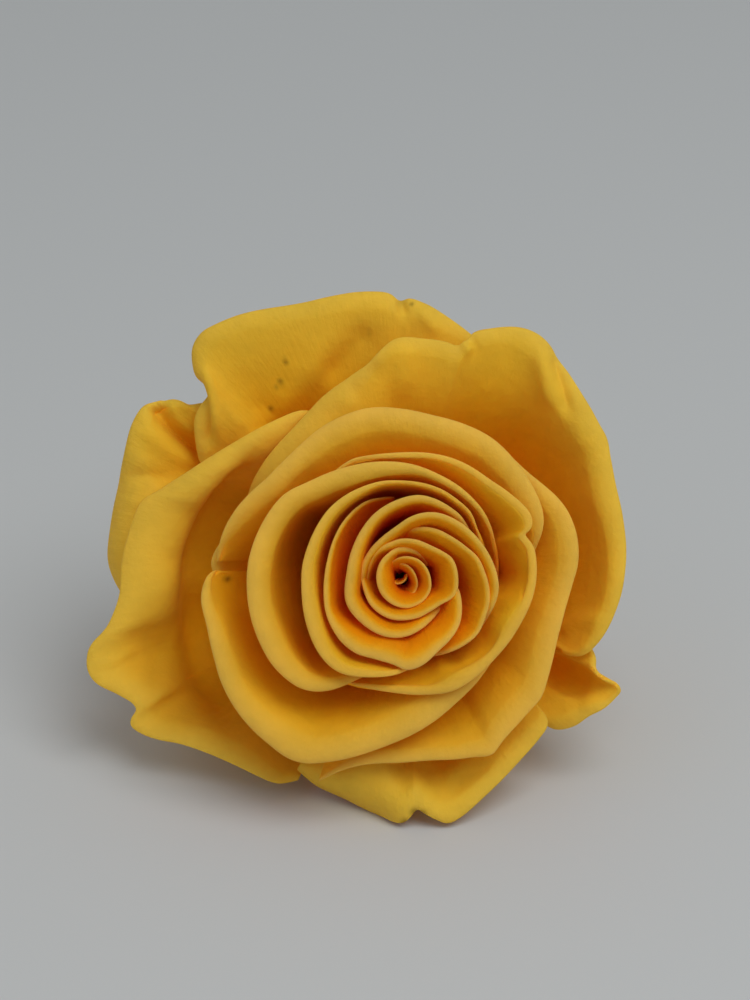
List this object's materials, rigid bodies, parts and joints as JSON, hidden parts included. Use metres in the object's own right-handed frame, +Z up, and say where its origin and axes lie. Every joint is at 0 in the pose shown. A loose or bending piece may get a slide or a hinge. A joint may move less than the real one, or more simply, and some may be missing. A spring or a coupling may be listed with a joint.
{
  "type": "preserved rose head",
  "caption": "Open, cupped rose bloom with a spiral heart, rolled velvety petals, a calyx and a short cut stem, lying on its side with its face turned up.",
  "frame": {"origin": "bottom centre of the bloom's bounding box, on the surface that the bloom lies on", "axes": "+Z up from the surface; the bloom's face looks toward -Y, turned 27 degrees up from level, and its short stem points toward +Y and down to the surface"},
  "size_m": [0.0612, 0.0618, 0.0514],
  "materials": {
    "heart_petals": "matte, velvety",
    "inner_petals": "matte, velvety",
    "guard_petals": "matte, velvety, finely wrinkled",
    "sepals": "matte, dry",
    "stem": "matte, with a pale cut end"
  },
  "bodies": {
    "root": {"heart_petals": "heart_petals", "petal_inner_cup": "inner_petals", "petal_mid_left": "inner_petals", "petal_mid_right": "inner_petals", "petal_outer_top": "inner_petals", "petal_outer_bottom": "inner_petals", "petal_outer_left": "inner_petals", "petal_outer_right": "inner_petals", "guard_top_right": "guard_petals", "guard_bottom": "guard_petals", "guard_lower_left": "guard_petals", "guard_lower_right": "guard_petals", "guard_top_back": "guard_petals", "guard_left": "guard_petals", "sepal_1": "sepals", "sepal_2": "sepals", "sepal_3": "sepals", "sepal_4": "sepals", "sepal_5": "sepals", "stem": "stem"}
  },
  "joints": []
}
